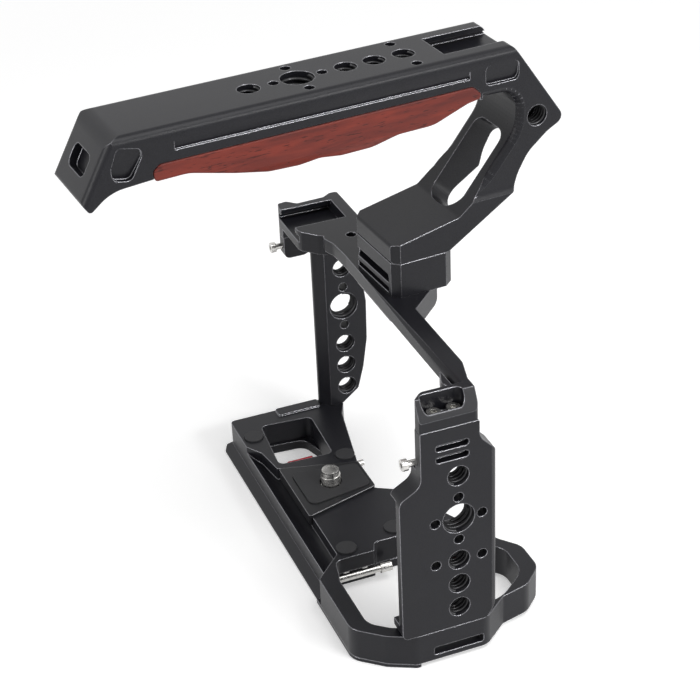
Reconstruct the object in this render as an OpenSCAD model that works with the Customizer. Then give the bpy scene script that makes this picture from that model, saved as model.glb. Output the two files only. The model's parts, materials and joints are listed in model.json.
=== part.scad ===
// Camera cage with a top handle.
// Origin: the camera screw's axis at the seat plane. +X to the grip-side column,
// +Y to the lens, +Z up. The handle is drawn in its own frame, on its swivel bolt.

/* [Camera space] */
// Clear width between the two columns
cam_w = 115.5; // [112:0.5:120]
// Far column's inner face to the camera screw
screw_off = 42.5; // [41:0.5:45]
// Underside of the bridge over the seat plane
under_h = 71.1; // [69:0.1:76]
// Height of the seat pads over the base
seat_rise = 1.2; // [0.9:0.1:1.6]

/* [Base] */
// Thickness of the base over the dovetail
base_t = 8.1; // [7.6:0.1:10]
// How far the grip loop reaches lower than the base
loop_drop = 1.9; // [1.4:0.1:2.6]
// Camera screw to the rear wall
rear_y = 17.5; // [17:0.1:19]
// Camera screw to the front edge at the centre plate
front_y = 12.2; // [11.8:0.1:13.5]
// Camera screw to the front edge at the far column
far_front = 21; // [20:0.5:23]
// Depth of the trough behind the plates
trough_d = 4.2; // [3:0.1:4.6]
// Width of the trough behind the plates
trough_w = 5; // [4:0.1:5.2]
// Window's size across the cage
window_w = 23.6; // [20:0.2:25]
// Window's size from rear to front
window_l = 17; // [14:0.2:17.6]
// Window's far edge from the far column's inner face
window_x = 1.6; // [1.2:0.1:3]

/* [Grip loop] */
// Opening's size across the cage
loop_w = 30.5; // [28:0.5:32]
// Wall beside the grip column
loop_wall = 6; // [5:0.1:7]
// Rim behind and ahead of the opening
loop_rim = 5.3; // [4.8:0.1:6.5]
// Camera screw to the loop's front
loop_front = 40.5; // [38:0.5:44]
// Height of the strap slot
strap_h = 2.7; // [2:0.1:3.2]
// Length of the strap slot
strap_l = 15.4; // [12:0.2:17]

/* [Dovetail] */
// Height of the dovetail
dove_h = 3.1; // [2.8:0.1:3.6]
// Width of the dovetail across its foot
dove_w = 38; // [37.6:0.1:38.4]
// Thickness of the foot under the grip loop
foot_t = 1.2; // [1:0.1:1.4]

/* [Columns] */
// Thickness of the grip column
near_t = 6.5; // [6:0.1:8]
// Thickness of the far column
far_t = 5.5; // [5.2:0.1:7]
// Width of the grip column's lower part
near_w = 29.3; // [28:0.1:31]
// Width of the grip column's top
near_top_w = 17.4; // [16.6:0.1:20]
// Centre line of the grip column's holes ahead of the screw
near_hole_y = 8.4; // [8:0.1:9]
// Width of the far column
far_w = 12.1; // [12:0.1:14]
// Centre line of the far column's holes ahead of the screw
far_hole_y = 22.8; // [22.6:0.1:23.2]
// Lowest hole over the seat plane
hole_low = 5.5; // [5:0.1:6.5]
// Pitch of the lower quarter-inch holes
hole_pitch = 8.25; // [8:0.05:8.5]
// Top hole under the grip column's top
top_hole = 16.3; // [15:0.1:18]
// Pitch from a quarter-inch hole to the big hole
big_pitch = 14.15; // [13.6:0.05:14.5]
// Locating holes' distance from the hole they serve
loc_pitch = 7; // [6.8:0.1:7.4]

/* [Threads] */
// Quarter-inch thread's diameter
quarter_d = 6.35; // [6.2:0.05:6.5]
// Three-eighths thread's diameter
big_d = 9.53; // [9.3:0.01:9.7]
// Locating holes' diameter
loc_d = 3; // [2.6:0.1:3.2]
// Diameter of the set screws
set_d = 2; // [1.6:0.1:2.4]
// Diameter of the set screws' heads
set_head_d = 3.4; // [3:0.1:3.8]
// Diameter of the screws that hold the pieces together
screw_d = 2.5; // [2:0.1:2.8]

/* [Centre plate] */
// Width of the plate at its rear
plate_rear_w = 28.4; // [26:0.2:30]
// Width of the plate at its front
plate_front_w = 14.6; // [14:0.2:18]
// Thickness of the plate
plate_t = 3.5; // [3:0.1:3.8]
// Length of the camera screw over the seat
screw_up = 4.6; // [4:0.1:5.5]
// Diameter of the camera screw's head
screw_head_d = 11; // [10:0.5:12]
// Diameter of the round pads
pad_d = 6.2; // [5.6:0.1:6.4]

/* [Hex key] */
// Diameter of the key's shaft
key_d = 2.3; // [2:0.1:2.5]
// Length of the key
key_l = 17.6; // [16:0.2:18.4]
// Width of the key's bay in the base
key_bay = 9.4; // [9:0.1:10]

/* [Lock slide] */
// Width of the slide
lock_w = 8.6; // [7:0.1:9]
// Thickness of the slide
lock_t = 2.6; // [2:0.1:2.8]
// How far the slide stands into the window
lock_out = 5.2; // [4:0.1:7]
// Travel of the slide
lock_travel = 3; // [2:0.1:4]

/* [Bridge] */
// Thickness of the bridge's bar
bar_t = 4.3; // [4:0.1:5.5]
// Width of the bridge's bar
bar_w = 6.3; // [6:0.1:8]
// Camera screw to the bar's rear face
bar_y = 10.7; // [10:0.1:11.4]
// Height of the bracket on the grip column
bracket_h = 8.8; // [8:0.1:10]
// Height of the shoe's platform
platform_h = 9.9; // [9.6:0.1:11]
// Depth of the bridge under the handle
tongue_h = 7; // [6.8:0.1:8]
// Width between a cold shoe's lips
shoe_gap = 13; // [12.6:0.1:13.2]
// Width of a cold shoe's undercut
shoe_w = 18.6; // [18.5:0.1:18.8]
// Height of a cold shoe's undercut
shoe_t = 2.2; // [2.1:0.1:2.5]
// Thickness of a cold shoe's lips
lip_t = 1.7; // [1.4:0.1:1.9]

/* [Handle] */
// Handle's swivel axis along the bridge
swivel_x = 11.7; // [10:0.1:14]
// Handle's swivel axis ahead of the camera screw
swivel_y = 22; // [21:0.1:22.5]
// Turn of the handle from the bridge's square
handle_yaw = 4.6; // [0:0.1:6]
// Width of the handle
handle_w = 24.2; // [23.2:0.1:24.8]
// Height of the mount block
block_h = 11; // [10:0.5:13]
// Width of the mount block
block_w = 25.6; // [25:0.1:26.4]
// Top of the handle over the mount block
handle_h = 57.6; // [55:0.2:64]
// Height of the grip bar
grip_h = 13.4; // [13:0.1:15]
// Handle's reach behind the swivel
rear_reach = 97.4; // [94:0.2:104]
// Handle's reach ahead of the swivel
front_reach = 45.6; // [45:0.1:48]
// Width of the slot through the arm
arm_slot_w = 15; // [12:0.5:15.5]
// Radius along the handle's top edges
top_round = 2.4; // [1:0.1:2.6]
// Diameter of the swivel bolt
bolt_d = 6; // [5:0.5:6.5]

/* [Wood] */
// Thickness of the wood inserts
wood_t = 6; // [5:0.2:6.6]
// Length of the wood inserts
wood_l = 96.6; // [92:0.2:98]
// Deepest point of the wood under the handle's underside
wood_dip = 6.8; // [5:0.1:8]
// Height of the wood over the handle's underside
wood_up = 4.4; // [4:0.1:5]

/* [Hidden] */
$fn = 48;
eps = 0.01;
cut = 1;                                // how far a cutter runs past a face
fit = 0.08;                             // radial clearance of a turning fit
seat_gap = 0.1;                         // clearance around a seated piece
slide_gap = 0.2;                        // clearance around a sliding piece
free_gap = 0.35;                        // clearance of a curved face that moves
arc_steps = 7;

// Levels and faces that several pieces share
base_top = -seat_rise;
base_bot = base_top - base_t;
dove_bot = base_bot - dove_h;
loop_bot = base_bot - loop_drop;
loop_rear = rear_y + dove_h;
far_in = -screw_off;
far_out = far_in - far_t;
near_in = far_in + cam_w;
near_out = near_in + near_t;
bridge_top = under_h + bar_t;
column_top = bridge_top - bracket_h;
platform_bot = bridge_top - platform_h;
tongue_bot = bridge_top - tongue_h;
loop_x1 = near_out - loop_wall;
loop_x0 = loop_x1 - loop_w;
trough_y = trough_w - rear_y;
plate_top = base_top + 0.8;
plate_bot = plate_top - plate_t;
window_x0 = far_in + window_x;
window_x1 = window_x0 + window_w;
window_y0 = trough_y + 3.4;
window_y1 = window_y0 + window_l;
lock_top = plate_bot - 0.8;
hole_z = [hole_low, hole_low + hole_pitch, hole_low + 2 * hole_pitch];
high_z = column_top - top_hole;
big_z = high_z - big_pitch;
near_rear_y = near_hole_y - near_w * 0.597;
near_front_y = near_rear_y + near_w;
near_top_y = near_hole_y - near_top_w * 0.632;
far_rear_y = far_hole_y - far_w / 2;
column_front_y = near_top_y + near_top_w;

// Handle's own levels, over the mount block
grip_bot = handle_h - grip_h;
arm_rear = 31.6;
wood_v1 = 19.1;
wood_v0 = wood_v1 - wood_l;

// ---- Shapes that the pieces share ----

function unit(v) = v / norm(v);
function xy(p) = [p[0], p[1]];
function turned(p, a) = [p[0] * cos(a) - p[1] * sin(a), p[0] * sin(a) + p[1] * cos(a)];

// A corner b between a and c, rounded by an arc of radius r where its sides leave room
function corner(a, b, c, r) =
  let (u = unit(a - b), v = unit(c - b), half = acos(max(-1, min(1, u * v))) / 2)
  r <= 0 || half > 89.5 ? [b] :
  let (t = min(r / tan(half), 0.49 * norm(a - b), 0.49 * norm(c - b)),
       m = b + unit(u + v) * t / cos(half),
       side = u[0] * v[1] - u[1] * v[0] < 0 ? 1 : -1)
  [for (i = [0:arc_steps]) m + turned(b + u * t - m, side * (180 - 2 * half) * i / arc_steps)];

// A closed outline of corners [x, y, radius]
function rounded(p) = [for (i = [0:len(p) - 1])
  each corner(xy(p[(i + len(p) - 1) % len(p)]), xy(p[i]), xy(p[(i + 1) % len(p)]), p[i][2])];

// A rectangle's corners with one radius
function box_pts(x0, x1, y0, y1, r) = [[x0, y0, r], [x1, y0, r], [x1, y1, r], [x0, y1, r]];

// An outline seen from above, from height z0 to z1
module plan(pts, z0, z1) {
  translate([0, 0, z0]) linear_extrude(z1 - z0) polygon(rounded(pts));
}

// An outline of [y, z] points, from x0 to x1
module side_on(pts, x0, x1) {
  translate([x0, 0, 0]) rotate([90, 0, 90]) linear_extrude(x1 - x0) polygon(rounded(pts));
}

// An outline of [x, z] points, from y0 to y1
module end_on(pts, y0, y1) {
  translate([0, y1, 0]) rotate([90, 0, 0]) linear_extrude(y1 - y0) polygon(rounded(pts));
}

module hole_x(d, x0, x1, y, z) {
  translate([x0, y, z]) rotate([0, 90, 0]) cylinder(d = d, h = x1 - x0);
}

module hole_y(d, x, y0, y1, z) {
  translate([x, y0, z]) rotate([-90, 0, 0]) cylinder(d = d, h = y1 - y0);
}

module hole_z(d, x, y, z0, z1) {
  translate([x, y, z0]) cylinder(d = d, h = z1 - z0);
}

// The holes of a column: quarter-inch, one big, and the locating holes beside them
module column_holes(x0, x1, y) {
  for (z = concat(hole_z, [high_z])) hole_x(quarter_d, x0, x1, y, z);
  hole_x(big_d, x0, x1, y, big_z);
  for (s = [-1, 1]) hole_x(loc_d, x0, x1, y, big_z + s * big_pitch / 2);
}

// The space of a cold shoe, open at its end y0, with its floor at z = 0
module shoe_space(y0, y1, x_mid) {
  translate([x_mid - shoe_w / 2, y0, 0]) cube([shoe_w, y1 - y0, shoe_t]);
  translate([x_mid - shoe_gap / 2, y0, 0]) cube([shoe_gap, y1 - y0, shoe_t + lip_t + cut]);
}

// A socket-headed screw pointing down from z = 0, with a head of height h
module socket_screw(d, head_d, h, l) {
  difference() {
    union() {
      cylinder(d = head_d, h = h);
      translate([0, 0, -l]) cylinder(d = d, h = l + eps);
    }
    translate([0, 0, h * 0.45]) cylinder(d = d * 0.8, h = h, $fn = 6);
  }
}

// The handle's own frame: origin on the swivel axis at the bridge's top
module on_bridge() {
  translate([swivel_x, swivel_y, bridge_top]) rotate(handle_yaw) children();
}

// The same frame at the handle's foot
module on_block() {
  on_bridge() translate([0, 0, block_h]) children();
}

// ---- Base ----

loop_far = loop_x0 - 3;                 // far edge of the loop's deeper part
// Outline of the base, with the grip loop
base_pts = [
  [far_out, -rear_y, 1.5], [loop_x0 + 0.5 - dove_h, -rear_y, 1], [loop_x0 + 0.5, -loop_rear, 1],
  [near_out - 11, -loop_rear, 6], [near_out - 4, -loop_rear + 8, 7], [near_out, -5, 4],
  [near_out, column_front_y + 2.2, 5], [near_out - 6.5, column_front_y + 10.2, 2],
  [near_out - 8.7, loop_front - 6.5, 6], [near_out - 15, loop_front, 6],
  [near_out - 26, loop_front, 6], [near_out - 32, loop_front - 4.9, 5],
  [plate_front_w / 2 + 3.8, front_y + 5.7, 2], [plate_front_w / 2 + 0.3, front_y, 0.8],
  [-plate_front_w / 2 - 0.3, front_y, 1], [window_x1 - 19.5, front_y + 6.1, 3],
  [far_in, far_front, 2], [far_out, far_front, 1.5]];
// Outline of the loop's opening
loop_pts = [
  [loop_x0, loop_rim - loop_rear, 4], [loop_x1 - 5.5, loop_rim - loop_rear, 6],
  [loop_x1, loop_rim - loop_rear + 6.4, 6], [loop_x1, loop_front - loop_rim - 11, 12],
  [loop_x1 - 9, loop_front - loop_rim, 8], [loop_x1 - 21, loop_front - loop_rim, 6],
  [loop_x0, loop_front - loop_rim - 11, 5]];
// Outline of the deeper part around the loop
deep_pts = [
  [loop_far, -loop_rear - cut, 0], [near_out + cut, -loop_rear - cut, 0],
  [near_out + cut, loop_front + cut, 0], [loop_far + 4, loop_front + cut, 0],
  [loop_far, front_y, 0]];
// Outlines of the centre plate and of the pad on it
function plate_pts(grow, r) = [
  [-plate_rear_w / 2 - grow, trough_y - grow, r], [plate_rear_w / 2 + grow, trough_y - grow, r],
  [plate_front_w / 2 + grow, front_y + grow, r], [-plate_front_w / 2 - grow, front_y + grow, r]];
pad_inset = 2.4;
function pad_pts(grow) = [
  [-plate_rear_w / 2 + 2 * pad_inset - grow, trough_y + pad_inset - grow, 2.4],
  [plate_rear_w / 2 - 2 * pad_inset + grow, trough_y + pad_inset - grow, 2.4],
  [plate_front_w / 2 - pad_inset / 2 + grow, front_y - pad_inset / 2 + grow, 1.6],
  [-plate_front_w / 2 + pad_inset / 2 - grow, front_y - pad_inset / 2 + grow, 1.6]];
pad_places = [[window_x0 + 5.2, trough_y - 0.9], [window_x1 + 3.7, front_y - 2],
  [loop_x0 - 13.8, front_y - 2.9], [loop_x0 - 10.1, trough_y + 4.7]];
pad_sink = 0.8;
pad_up = 0.5;                           // how far the round pads stand over the base
clip_t = 0.8;
clip_d = 9.6;
head_h = 2.6;
head_top = base_bot + head_h + 0.3;
lock_y = -2.4;
lock_in = 5;                            // length of the slide inside its guide
front_set_z = base_top - 2.4;
front_set_x = -plate_front_w / 2 - 3;
magnet_d = 1.6;
magnet_t = 1.6;
key_x = loop_x0 - 5.6;
key_y0 = trough_y - 0.5;
key_z = base_top - 7.1;
key_back = key_x - key_d / 2 - 0.5 - free_gap;
dove_front = dove_w - loop_rear;
dove_screw_y = 8.5;
dove_screws = [for (x = [far_in - 1.9, plate_rear_w / 2 + 9], s = [-1, 1]) [x, s * dove_screw_y]];

module base_frame() color("#1c1d20") difference() {
  union() {
    plan(base_pts, base_bot, base_top);
    intersection() {
      plan(base_pts, loop_bot, base_bot + eps);
      plan(deep_pts, loop_bot - cut, base_bot + cut);
    }
    // raised strip along the far edge
    plan(box_pts(far_out, far_out + 4.2, -1.6, far_rear_y - 3.3, 1), base_top - eps, base_top + 0.6);
  }
  plan(loop_pts, loop_bot - cut, base_top + cut);
  // trough behind the plates, between the far block and the loop
  trough();
  // window under the camera's battery door
  plan([[window_x0, window_y0, 2], [window_x1, window_y0 - 2, 2], [window_x1 + 1, window_y1 - 1, 2],
    [window_x0 + 1.5, window_y1, 2]], base_bot - cut, base_top + cut);
  // pocket of the centre plate, its clip and the camera screw
  plan(plate_pts(seat_gap, 0), plate_bot, base_top + cut);
  hole_z(quarter_d + 2 * fit, 0, 0, base_bot - cut, base_top);
  hole_z(screw_head_d + 1, 0, 0, base_bot - cut, head_top);
  hole_z(clip_d + 1, 0, 0, plate_bot - clip_t - 0.4, plate_bot + cut);
  // bay of the hex key beside the loop, and the seats of its magnets
  key_space();
  for (p = magnet_places)
    hole_x(magnet_d + 2 * seat_gap, key_back - magnet_t - 0.2, key_back + cut, p[0], p[1]);
  for (p = pad_places) hole_z(pad_d + 2 * seat_gap, p[0], p[1], base_top - pad_sink, base_top + cut);
  // guide of the lock slide, in the window's near wall
  translate([window_x1 - 3, lock_y - lock_w / 2 - slide_gap, lock_top - lock_t - slide_gap])
    cube([lock_in + lock_travel + 3.4, lock_w + 2 * slide_gap, lock_t + 2 * slide_gap]);
  hole_y(set_d + 2 * fit, front_set_x, front_y - 4, front_y + 4, front_set_z);
  for (p = dove_screws)
    hole_z(screw_d + 2 * seat_gap, p[0], p[1], base_bot - cut, dove_bot + dove_screw_l + 0.6);
  // strap slot through the loop's wall
  side_on(box_pts(0.4, 0.4 + strap_l, loop_bot + 1.7, loop_bot + 1.7 + strap_h, 0.6),
    loop_x1 - cut, near_out + cut);
}

magnet_places = [for (y = [4, 10]) [key_y0 + y, key_z + 0.3]];

// The bay beside the loop, and the groove under its wall in which the key lies
module key_space() {
  plan([[loop_x0 - key_bay + 3.8, trough_y - 0.6, 2.5], [loop_x0 + 5, loop_rim - loop_rear, 0],
    [loop_x0 + 5, front_y + 6, 1], [loop_x0 - key_bay, front_y + 1, 2],
    [loop_x0 - key_bay, 1, 1.5], [loop_x0 - key_bay + 3.8, -0.6, 0.6]], dove_bot - cut, base_top + cut);
  plan(box_pts(key_back, loop_x0 + 4, key_y0 - free_gap, 1.7, 0), dove_bot - cut,
    key_z + key_d / 2 + 0.5 + free_gap);
}

// The trough: a round hollow that runs out through the rear face, ended by two slants
module trough() {
  x0 = window_x0 + 9.5;
  x1 = loop_x0 - 8.6;
  intersection() {
    hole_x(2 * trough_r, x0 - 20, x1 + 20, trough_y - 0.7, base_top - trough_d + trough_r);
    plan([[x0 - 3.2, -rear_y - 2, 0], [x1 + 10, -rear_y - 4, 0], [x1, trough_y + cut, 1],
      [-plate_rear_w / 2 - 1, trough_y + cut, 1], [-plate_rear_w / 2 - 1, trough_y, 1],
      [x0 + 5.6, trough_y - 1.6, 1]], base_top - 2 * trough_d, base_top + 2 * cut);
  }
}

trough_r = trough_w + 0.6;

module dovetail_plate() color("#17181a") difference() {
  union() {
    // flanks at 45 degrees along both long sides, and across the far end
    intersection() {
      side_on([[-loop_rear, dove_bot, 0.3], [dove_front, dove_bot, 0.3],
        [dove_front - dove_h, base_bot, 0], [-rear_y, base_bot, 0]], far_out - dove_h, loop_far + 2);
      end_on([[far_out - dove_h, dove_bot, 0.3], [loop_far, dove_bot, 0],
        [loop_far, base_bot, 0], [far_out, base_bot, 0]], -loop_rear - cut, dove_front + cut);
      plan(box_pts(far_out - dove_h, loop_far + 20, -loop_rear, dove_front, 6),
        dove_bot - cut, base_bot + cut);
    }
    // thin foot under the grip loop's rear corner
    plan([[loop_far - eps, -loop_rear, 0], [near_out - 11, -loop_rear, 6],
      [near_out - 4, -loop_rear + 8, 7], [near_out, -5, 1], [near_out, -3.6, 0.4],
      [near_out - 4.5, -3.6, 0.4], [near_out - 9, -loop_rear + 8.5, 5],
      [near_out - 14, -loop_rear + 4.5, 4], [loop_far - eps, -loop_rear + 4.5, 0]],
      dove_bot, dove_bot + foot_t);
  }
  key_space();
  plan(box_pts(loop_x0 - key_bay + 0.4, loop_far + 2 * cut, front_y - 4, dove_front + cut, 0),
    dove_bot - cut, base_bot + cut);
  plan([[window_x0 + 1, window_y0 + 1, 2], [window_x0 + 6, window_y0 - 1, 2],
    [window_x1 - 1, window_y0 - 2, 2], [window_x1, window_y1 - 2, 3], [window_x0 + 12, window_y1, 4],
    [window_x0 + 2, window_y1 - 3, 4]], dove_bot - cut, base_bot + cut);
  hole_z(screw_head_d + 1, 0, 0, dove_bot - cut, base_bot + cut);
  for (p = dove_screws) translate([p[0], p[1], dove_bot]) {
    translate([0, 0, -cut]) cylinder(d = screw_d + 2 * seat_gap, h = dove_h + 2 * cut);
    translate([0, 0, -eps]) cylinder(d1 = 2 * screw_d + 2 * seat_gap, d2 = screw_d + 2 * seat_gap,
      h = sunk_h + seat_gap);
  }
}

sunk_h = screw_d / 2;                   // height of a sunk screw head
dove_screw_l = dove_h + 4;

module dovetail_screws() color("#b9bcc0") for (p = dove_screws) translate([p[0], p[1], dove_bot])
  difference() {
    union() {
      cylinder(d1 = 2 * screw_d, d2 = screw_d, h = sunk_h);
      cylinder(d = screw_d, h = dove_screw_l);
    }
    translate([0, 0, -cut]) cylinder(d = screw_d * 0.6, h = cut + 0.9, $fn = 6);
  }

module centre_plate() color("#202124") difference() {
  plan(plate_pts(0, 0.8), plate_bot, plate_top);
  plan(pad_pts(seat_gap), plate_top - 0.6, plate_top + cut);
  hole_z(quarter_d + 2 * fit, 0, 0, plate_bot - cut, plate_top + cut);
}

module seat_pad() color("#101112") difference() {
  plan(pad_pts(0), plate_top - 0.6, 0);
  hole_z(quarter_d + 2 * free_gap, 0, 0, plate_bot, cut);
}

module round_pads() color("#0e0f10") for (p = pad_places)
  hole_z(pad_d, p[0], p[1], base_top - pad_sink, base_top + pad_up);

relief_h = 1;                           // groove under the part of the thread that holds

module camera_screw() color("#c9cbce") difference() {
  union() {
    hole_z(quarter_d, 0, 0, head_top - eps, -relief_h);
    hole_z(quarter_d - 0.8, 0, 0, -relief_h - eps, eps);
    hole_z(quarter_d, 0, 0, 0, screw_up - 0.5);
    translate([0, 0, screw_up - 0.5 - eps]) cylinder(d1 = quarter_d, d2 = quarter_d - 1, h = 0.5);
    hole_z(screw_head_d, 0, 0, head_top - head_h, head_top);
  }
  // coin slot, and the groove of the clip
  translate([-screw_head_d, -0.8, head_top - head_h - cut]) cube([2 * screw_head_d, 1.6, 1.2 + cut]);
  difference() {
    hole_z(quarter_d + 2, 0, 0, plate_bot - clip_t - 0.2, plate_bot - 0.2);
    hole_z(quarter_d - 1.2, 0, 0, plate_bot - clip_t - cut, plate_bot);
  }
}

module screw_clip() color("#8f9297") difference() {
  hole_z(clip_d, 0, 0, plate_bot - clip_t - 0.2 + seat_gap, plate_bot - 0.2 - seat_gap);
  hole_z(quarter_d - 1.2 + 2 * seat_gap, 0, 0, plate_bot - 2, plate_bot + cut);
  translate([0, -1.6, plate_bot - 2]) cube([clip_d, 3.2, 3]);
}

module hex_key() color("#c4c6c9") {
  hole_y(key_d, key_x, key_y0, key_y0 + key_l * 0.8, key_z);
  hole_y(key_d + 1, key_x, key_y0 + key_l * 0.8 - eps, key_y0 + key_l, key_z);
}

module key_magnets() color("#77797c") for (p = magnet_places)
  hole_x(magnet_d, key_back - magnet_t, key_back, p[0], p[1]);

module lock_slide() color("#b3122a")
  translate([window_x1 - lock_out, lock_y - lock_w / 2, lock_top - lock_t])
    cube([lock_out + lock_in, lock_w, lock_t]);

module front_set_screw() color("#d0d2d4") difference() {
  hole_y(set_d, front_set_x, front_y - 3, front_y + 2.9, front_set_z);
  hole_y(set_d * 0.5, front_set_x, front_y + 1.9, front_y + 4, front_set_z, $fn = 6);
}

// ---- Columns ----

module grip_column() color("#1c1d20") difference() {
  side_on([
    [near_rear_y, base_top, 2], [column_front_y + 2, base_top, 1],
    [near_front_y, base_top + 5, 1.5], [near_front_y, high_z + 5.2, 5],
    [column_front_y, high_z + 10.6, 5],
    [column_front_y, column_top, 0.5], [near_top_y, column_top, 0.5],
    [near_top_y, high_z - 0.5, 4], [near_rear_y, high_z - 4.2, 3]], near_in, near_out);
  // the inner side is cut back towards the rear edge
  plan([[near_in - cut, near_rear_y - cut, 0], [near_out - 2.5, near_rear_y - cut, 0],
    [near_out - 2.5, near_rear_y + 0.6, 0.5], [near_in, near_rear_y + 8, 0],
    [near_in - cut, near_rear_y + 8, 0]], base_top + 4, high_z - 5);
  plan([[near_in + 3 + cut, near_top_y - cut, 0], [near_in - cut, near_top_y - cut, 0],
    [near_in - cut, near_top_y + 3 + cut, 0]], high_z + 3, column_top + cut);
  column_holes(near_in - cut, near_out + cut, near_hole_y);
  for (z = [big_z, hole_z[2]], s = [-1, 1])
    hole_x(loc_d, near_in - cut, near_out + cut, near_hole_y + s * loc_pitch, z);
  // rounded front edge of the outer face
  translate([near_out, near_front_y, base_top - cut]) mirror([0, 1, 0]) linear_extrude(column_top)
    polygon(round_cut(column_round));
  // two slots for straps under the bracket
  for (z = [column_top - 7, column_top - 10.7])
    side_on(box_pts(near_hole_y - 6.5, near_hole_y + 3.2, z, z + 2.1, 0.9), near_out - 2.4, near_out + cut);
  hole_y(set_d + 2 * fit, column_set_x, near_top_y - cut, near_top_y + 6, column_set_z);
  for (y = bracket_screw_y)
    hole_z(screw_d + 2 * seat_gap, bracket_x, y, column_top - 3.9, column_top + cut);
}

column_round = 2.4;
column_set_z = column_top - 11;
column_set_x = near_out - 3.8;
bracket_x = near_out - 3.05;
bracket_screw_y = [near_hole_y - 5.7, near_hole_y + 0.1];

module far_column() color("#1c1d20") difference() {
  union() {
    side_on([
      [far_rear_y, base_top, 1], [far_rear_y + 4, base_top, 1], [far_rear_y + 10, hole_low - 2, 2],
      [far_rear_y + far_w, hole_low + 6, 4], [far_rear_y + far_w + 1.6, hole_z[2], 5],
      [far_rear_y + far_w + 1.8, big_z, 5], [far_rear_y + far_w, high_z, 5],
      [far_rear_y + far_w - 3, platform_bot, 0.5], [far_rear_y, platform_bot, 0.5]], far_out, far_in);
    // rear edge, thinner and sloping back
    plan([[far_out, far_rear_y + eps, 0], [far_out + 1.2, far_rear_y - 3.2, 0.5],
      [far_out + 2.6, far_rear_y - 3.2, 0.5], [far_in, far_rear_y + eps, 0]], base_top, platform_bot);
  }
  column_holes(far_out - cut, far_in + cut, far_hole_y);
}

// ---- Bridge ----

shoe_x = (far_in + shoe_gap / 2) - 0.5;
shoe_wall = 1.6;
lug_z = platform_bot - 4;
lug_y = 4;
bridge_x = -21.9;                       // where the platform narrows to the bar
bar_front = bar_y + bar_w;
tongue_front = swivel_y + 7.2;
bar_round = 3;                          // radius along the bar's rear edge
bar_round_l = near_in - bridge_x - 16;
bar_fade = 1;                           // how far the rounding stands off where it begins
bar_run = asin((bar_fade - 0.02) / bar_round_l);

module top_bridge() color("#1c1d20") difference() {
  union() {
    // bar across the cage
    plan([[bridge_x, bar_y - 2.8, 4], [bridge_x + 7, bar_y - 0.5, 8], [bridge_x + 16, bar_y, 8],
      [near_in + 0.5, bar_y, 0], [near_in + 0.5, column_front_y, 0], [near_in - 1, column_front_y, 3],
      [near_in - 9, bar_front, 8], [swivel_x + 20.6, bar_front, 0.5],
      [swivel_x + 8, bar_front + 6, 0], [bridge_x, bar_front + 6, 0]], bridge_top - bar_t, bridge_top);
    // deeper tongue that carries the handle
    intersection() {
      plan([[swivel_x - 16, bar_y + 1.5, 4], [swivel_x + 13, bar_y + 1.5, 3],
        [swivel_x + 20.6, bar_front, 0.5], [swivel_x + 8.2, tongue_front, 1.5],
        [swivel_x - 8, tongue_front, 2], [swivel_x - 16, swivel_y + 2, 3]], tongue_bot, bridge_top - eps);
      side_on([[0, tongue_bot - cut, 0], [tongue_front - 5, tongue_bot - 0.5, 0],
        [tongue_front, tongue_bot, 5], [tongue_front, bridge_top + 5, 0], [0, bridge_top + 5, 0]],
        swivel_x - 20, swivel_x + 25);
    }
    platform();
    bracket();
  }
  // rounded rear edge of the bar, growing towards the grip column
  translate([bridge_x + 16, bar_y - bar_fade, bridge_top + bar_fade]) rotate([0, bar_run, bar_run])
    rotate([90, 0, 90]) linear_extrude(bar_round_l)
      polygon([for (p = round_cut(bar_round)) [p[1], p[0]]]);
  // shoe, open to the rear
  translate([0, 3.5 - cut, bridge_top - shoe_t - lip_t])
    shoe_space(0, 16.7 + cut, shoe_x);
  hole_z(3.2, bridge_x + 3.8, swivel_y - 4.7, platform_bot - cut, bridge_top + cut);
  hole_z(bolt_d + 2 * fit, swivel_x, swivel_y, tongue_bot - cut, bridge_top + cut);
  hole_z(bolt_head_d + 1, swivel_x, swivel_y, tongue_bot - cut, tongue_bot + bolt_head_h);
  hole_y(set_d + 2 * fit, far_out + 2.4, lug_y - cut, lug_y + 7, lug_z);
}

bolt_head_d = bolt_d + 4;
bolt_head_h = 3.4;
bolt_washer_t = 0.8;

// The shoe's platform over the far column, with a lug under its rear
module platform() {
  difference() {
    plan([[far_out + 0.4, lug_y, 1], [far_out + 3, lug_y - 0.6, 0],
      [shoe_x + shoe_gap / 2 + 2, lug_y - 0.6, 0],
      [bridge_x - 4.3, lug_y, 1], [bridge_x, bar_y - 2.8, 3], [bridge_x + 2, bar_y, 3],
      [bridge_x + 2, bar_front + 6, 3], [bridge_x - 6, bar_front + 7, 2], [far_out + 0.4, bar_front + 7, 1],
      [far_out + 0.4, far_rear_y + 4.8, 1], [far_out + 2.3, far_rear_y + 2, 1],
      [far_out + 2.8, lug_y + 5.7, 1], [far_out, lug_y + 3, 1]], platform_bot, bridge_top);
    // the underside is cleared inside the columns
    plan([[far_in, -cut, 0], [far_in + 60, -cut, 0], [far_in + 60, bar_front + 10, 0],
      [far_in, bar_front + 10, 0]], platform_bot - cut, bridge_top - 6.6);
  }
  // wall beside the shoe's undercut
  plan(box_pts(far_out + 0.8, far_out + 3.6, lug_y + 1, far_rear_y + 4.6, 0.5), platform_bot + 1,
    bridge_top - lip_t + 0.6);
  side_on([[lug_y, lug_z - 4, 2], [lug_y + 9, lug_z - 4, 3], [far_rear_y - 3.4, platform_bot + 1, 0],
    [lug_y, platform_bot + 1, 0]], far_out + 0.5, far_out + 4.3);
}

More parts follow.
